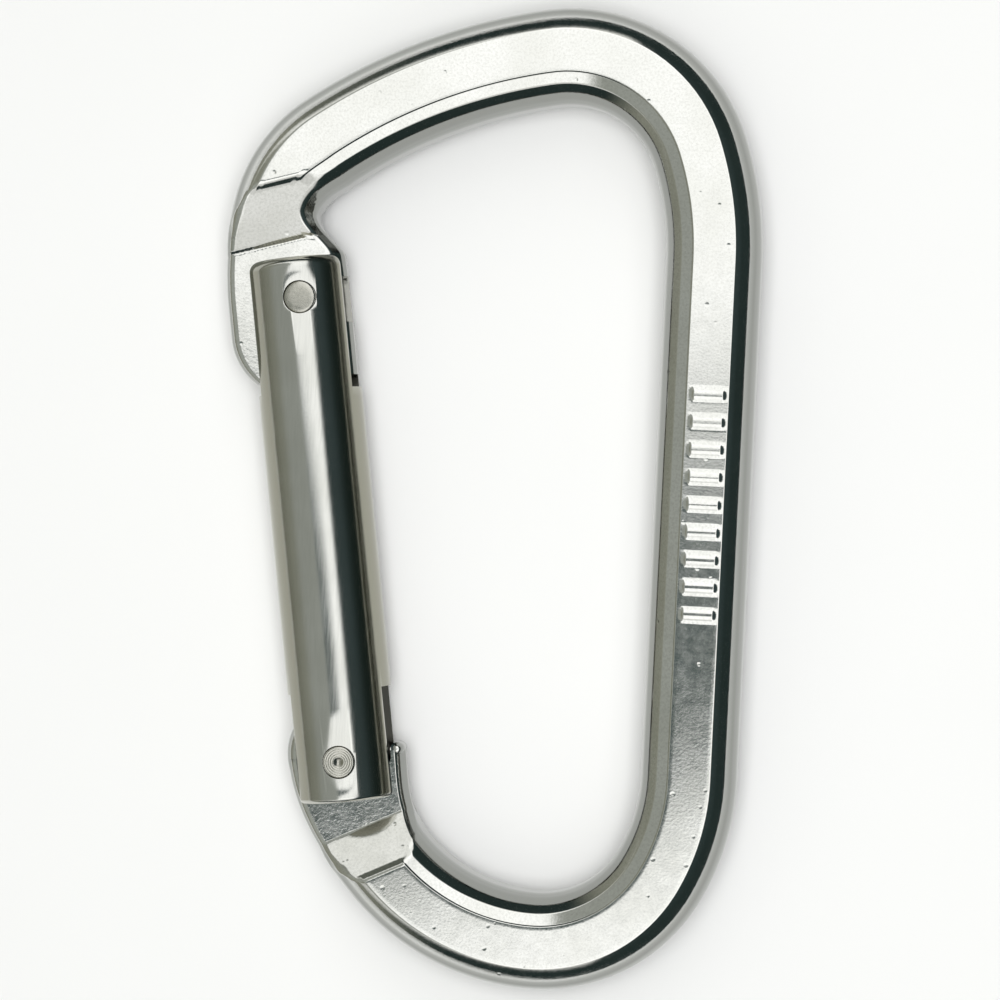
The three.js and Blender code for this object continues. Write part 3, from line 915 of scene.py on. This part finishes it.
def turned_aluminium():
    """Satin bar, drawn lengthwise, with painted shade on its steep sides and on the cut faces in its
    slots.
    """
    g = Graph("turned_aluminium_satin")
    lengthwise = g.turned_position(-gate_lean, (1.0, 0.06, 1.0))
    drawn = g.noise(5200, 2, 0.6, lengthwise)
    grain = g.noise(3800, 2, 0.6)
    cloud = g.noise(140, 2, 0.5)
    colour = g.mix(g.span(cloud, 0.3, 0.7), (0.60, 0.605, 0.58, 1), (0.66, 0.665, 0.645, 1))
    colour = g.mix(g.span(drawn, 0.35, 0.7, 0, 0.2), colour, (0.5, 0.505, 0.485, 1))
    # Painted shade: the steep sides are painted a dark olive, in place of the dim olive light they
    # reflect
    colour = g.mix(g.stored("steep"), colour, (0.3, 0.295, 0.24, 1))
    colour = g.mix(g.math("MULTIPLY", g.stored("edge"), 0.6), colour, (0.82, 0.82, 0.79, 1))
    split = g.nodes.new("ShaderNodeSeparateXYZ")
    g.feed(split.inputs[0], g.position)
    upper = g.span(split.outputs["Y"], SLOT_SHADE_CHANGE[0] * MM, SLOT_SHADE_CHANGE[1] * MM)
    # Painted shade in the slots: near black in the lower slot, dark grey in the upper one
    painted_slot_shade = g.mix(upper, (0.045, 0.045, 0.04, 1), (0.3, 0.3, 0.28, 1))
    colour = g.mix(g.slot_faces(), colour, painted_slot_shade)
    roughness = g.span(drawn, 0.3, 0.7, 0.12, 0.17)
    normal = g.bump(drawn, 0.0012 * MM)
    normal = g.bump(grain, 0.002 * MM, normal)
    return g.finish(colour, roughness, normal)


def steel(name, colour_low, colour_high, rough):
    """Fine-grained steel, cloudy between two colours, with brighter edges."""
    g = Graph(name)
    grain = g.noise(2600, 3, 0.6)
    cloud = g.noise(420, 2, 0.5)
    colour = g.mix(g.span(cloud, 0.3, 0.7), colour_low, colour_high)
    colour = g.mix(g.math("MULTIPLY", g.stored("edge"), 0.4), colour, (0.8, 0.79, 0.75, 1))
    roughness = g.span(grain, 0.3, 0.7, rough, rough + 0.1)
    return g.finish(colour, roughness, g.bump(grain, 0.006 * MM))


# ---- Build ----
forged = forged_aluminium()
turned = turned_aluminium()
rivet = steel("rivet_steel", (0.48, 0.475, 0.43, 1), (0.54, 0.53, 0.485, 1), 0.2)
spring = steel("spring_wire", (0.5, 0.51, 0.5, 1), (0.58, 0.585, 0.57, 1), 0.2)
pusher = steel("push_pin_steel", (0.55, 0.54, 0.5, 1), (0.62, 0.61, 0.57, 1), 0.25)

settle(build_body(), "frame", "body", forged, crease=50, steep_from=0.77)
settle(build_gate(), "gate", "gate", turned, steep_from=0.88)
settle(build_hinge_rivet(), "gate", "hinge_pin", rivet, crease=50)
settle(build_latch_rivet(), "gate", "latch_pin", rivet, crease=50)
coil = build_spring()
settle(coil, "gate", "gate_spring", spring, crease=50)
squash_spring(coil)
settle(build_plunger(), "plunger", "plunger", pusher, crease=40)


# ---- Floor, light and camera ----
# Metres here, but the camera's target is in the frame's millimetres
FLOOR_SIZE = 2.4
FLOOR_STEPS = 12
FLOOR_BUMP = 1e-5
FILL_SIZE = 0.22
FILL_POWER = 1.5
FILL_PLACE = (0.045, 0, 0.5)
CAMERA_TARGET = (1.93, -0.42, 5.7)
CAMERA_DISTANCE = 0.364
CAMERA_LENS = 121.87
CAMERA_ROLL = 2.78
CAMERA_TILT = 6

# The sky, in degrees from straight up: the strip light's sides and ends, each as where it starts
# and where it is full or gone. Its left side draws in towards its ends. A dim patch on it has a
# slanted edge.
STRIP_LEFT = (-18, -11)
STRIP_RIGHT = (22, 32)
STRIP_ENDS = (61, 67)
STRIP_DRAWN_IN = (35, 60, 1, 0.2)
STRIP_LOW_PART = (-36, -48)
STRIP_HIGH_PART = (48, 60)
DIM_SLANT = 0.4
DIM_NEAR_EDGE = (-4.5, -3.5)
DIM_FAR_EDGE = (-1.2, 3.0)


def build_floor():
    """A level pale sheet of square faces under the carabiner."""
    steps = FLOOR_STEPS
    vertices = [(FLOOR_SIZE * (i / steps - 0.5), FLOOR_SIZE * (j / steps - 0.5), 0)
                for j in range(steps + 1) for i in range(steps + 1)]
    row = steps + 1
    faces = [(j * row + i, j * row + i + 1, (j + 1) * row + i + 1, (j + 1) * row + i)
             for j in range(steps) for i in range(steps)]
    floor = make_object("floor", vertices, faces)
    g = Graph("pale_floor")
    g.shader.inputs["Specular IOR Level"].default_value = 0.1
    tone = g.mix(g.noise(30, 2), (0.86, 0.86, 0.86, 1), (0.88, 0.88, 0.88, 1))
    roughness = g.span(g.noise(200), 0, 1, 0.8, 0.9)
    bump = g.bump(g.noise(900), FLOOR_BUMP)
    floor.data.materials.append(g.finish(tone, roughness, bump, 0))


class WorldGraph(Graph):
    """The same short calls on the world's node tree, where position is the direction looked in."""

    def __init__(self):
        world = bpy.data.worlds.new("studio")
        bpy.context.scene.world = world
        world.use_nodes = True
        self.nodes = world.node_tree.nodes
        self.links = world.node_tree.links
        self.nodes.clear()
        self.shader = self.nodes.new("ShaderNodeBackground")
        output = self.nodes.new("ShaderNodeOutputWorld")
        self.links.new(self.shader.outputs[0], output.inputs["Surface"])
        self.position = self.nodes.new("ShaderNodeTexCoord").outputs["Generated"]


def build_world():
    """A soft strip light overhead along y, with a dim patch near the zenith and dark surroundings.

    lean_x and lean_y are a direction's angles from straight up, in degrees, towards +x and +y.
    """
    g = WorldGraph()
    split = g.nodes.new("ShaderNodeSeparateXYZ")
    g.feed(split.inputs[0], g.position)
    x, y, z = split.outputs
    lean_x = g.math("MULTIPLY", g.math("ARCTAN2", x, z), 180 / math.pi)
    lean_y = g.math("MULTIPLY", g.math("ARCTAN2", y, z), 180 / math.pi)
    far_y = g.math("ABSOLUTE", lean_y)
    left = g.math("MULTIPLY", lean_x, g.span(far_y, *STRIP_DRAWN_IN))
    strip = g.math("MULTIPLY", g.span(left, *STRIP_LEFT), g.span(lean_x, *STRIP_RIGHT, 1, 0))
    strip = g.math("MULTIPLY", strip, g.span(far_y, *STRIP_ENDS, 1, 0))
    slanted = g.math("SUBTRACT", lean_y, g.math("MULTIPLY", lean_x, DIM_SLANT))
    dim = g.math("MULTIPLY", g.span(slanted, *DIM_NEAR_EDGE), g.span(lean_y, *DIM_FAR_EDGE, 1, 0))
    bright = g.mix(g.span(lean_y, *STRIP_LOW_PART), (1.33, 1.33, 1.3, 1), (0.78, 0.78, 0.75, 1))
    bright = g.mix(g.span(lean_y, *STRIP_HIGH_PART), bright, (1.05, 1.05, 1.0, 1))
    lit = g.mix(dim, bright, (0.1, 0.125, 0.12, 1))
    low = g.mix(g.span(x, -0.4, -0.8), (0.022, 0.034, 0.032, 1), (0.27, 0.275, 0.225, 1))
    high = g.mix(g.span(x, -0.02, -0.2), (0.042, 0.06, 0.06, 1), (0.36, 0.375, 0.34, 1))
    g.feed(g.shader.inputs["Color"], g.mix(strip, g.mix(g.span(z, 0.35, 0.7), low, high), lit))


def add_fill():
    """A broad light that whitens the floor and stays out of the metal's reflections."""
    data = bpy.data.lights.new("fill", "AREA")
    data.shape = "SQUARE"
    data.size = FILL_SIZE
    data.energy = FILL_POWER
    lamp = bpy.data.objects.new("fill", data)
    bpy.context.scene.collection.objects.link(lamp)
    lamp.location = FILL_PLACE
    lamp.visible_camera = False
    lamp.visible_glossy = False


def add_camera():
    """Looks down on the carabiner, leaned a little to its right and turned a little."""
    roll = math.radians(CAMERA_ROLL)
    tilt = math.radians(CAMERA_TILT)
    across = Vector((math.cos(roll), math.sin(roll), 0))
    up = Vector((-math.sin(roll), math.cos(roll), 0))
    out = Vector((0, 0, 1))
    back = math.sin(tilt) * across + math.cos(tilt) * out
    right = math.cos(tilt) * across - math.sin(tilt) * out
    target = Vector(CAMERA_TARGET) * MM
    data = bpy.data.cameras.new("camera")
    data.lens = CAMERA_LENS
    data.clip_start = 0.01
    camera = bpy.data.objects.new("camera", data)
    bpy.context.scene.collection.objects.link(camera)
    turn = Matrix((right, up, back)).transposed().to_4x4()
    camera.matrix_world = Matrix.Translation(target + CAMERA_DISTANCE * back) @ turn
    bpy.context.scene.camera = camera


build_floor()
build_world()
add_fill()
add_camera()
bpy.context.scene.view_settings.view_transform = "Standard"
